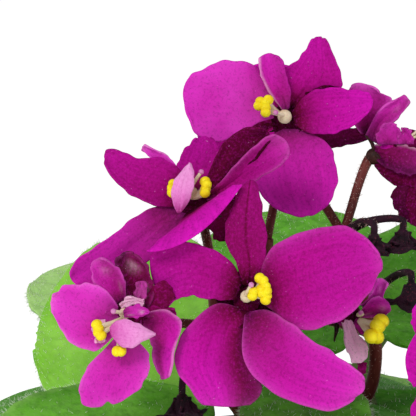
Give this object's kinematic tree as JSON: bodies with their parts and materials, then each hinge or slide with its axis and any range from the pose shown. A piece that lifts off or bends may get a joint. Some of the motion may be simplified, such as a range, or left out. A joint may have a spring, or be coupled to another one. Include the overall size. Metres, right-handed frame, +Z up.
{
  "type": "potted african violet",
  "caption": "Flowering african violet with magenta star blooms, yellow anthers, dark hairy stalks and a rosette of fuzzy scalloped leaves, in a plain round clay pot of soil.",
  "frame": {"origin": "centre of the pot's flat underside, on the surface that it stands on", "axes": "+Z up along the pot's axis, -Y towards the side that the blooms face, +X to a viewer's right there"},
  "size_m": [0.1819, 0.1797, 0.1689],
  "materials": {
    "clay": "matte",
    "soil": "matte",
    "crown": "matte",
    "leaf": "matte",
    "stalk": "matte",
    "petal": "matte",
    "pale_petal": "matte",
    "anther": "matte",
    "spent_petal": "matte"
  },
  "bodies": {
    "root": {"bloom_a_anthers": "anther", "bloom_a_petals": "petal", "bloom_b_anthers": "anther", "bloom_b_petals": "petal", "bloom_c_anthers": "anther", "bloom_c_petaloid": "pale_petal", "bloom_c_petals": "petal", "bloom_d_anthers": "anther", "bloom_d_petaloid": "pale_petal", "bloom_d_petals": "petal", "bloom_e_anthers": "anther", "bloom_e_petals": "petal", "bloom_f_anthers": "anther", "bloom_f_petals": "petal", "bloom_g_anthers": "anther", "bloom_g_petals": "petal", "bloom_h_anthers": "anther", "bloom_h_petals": "petal", "bloom_i_anthers": "anther", "bloom_i_petals": "petal", "crown": "crown", "flower_stalk_p": "stalk", "flower_stalk_q": "stalk", "flower_stalk_v": "stalk", "flower_stalk_w": "stalk", "leaf_01": "leaf", "leaf_02": "leaf", "leaf_03": "leaf", "leaf_04": "leaf", "leaf_05": "leaf", "leaf_06": "leaf", "leaf_07": "leaf", "leaf_08": "leaf", "leaf_09": "leaf", "leaf_10": "leaf", "leaf_11": "leaf", "leaf_12": "leaf", "leaf_13": "leaf", "leaf_14": "leaf", "leaf_15": "leaf", "leaf_16": "leaf", "leaf_17": "leaf", "pot": "clay", "soil": "soil", "spent_bloom_r": "spent_petal", "spent_bloom_s": "spent_petal", "spent_bloom_t": "spent_petal", "spent_bloom_u": "spent_petal"}
  },
  "joints": []
}
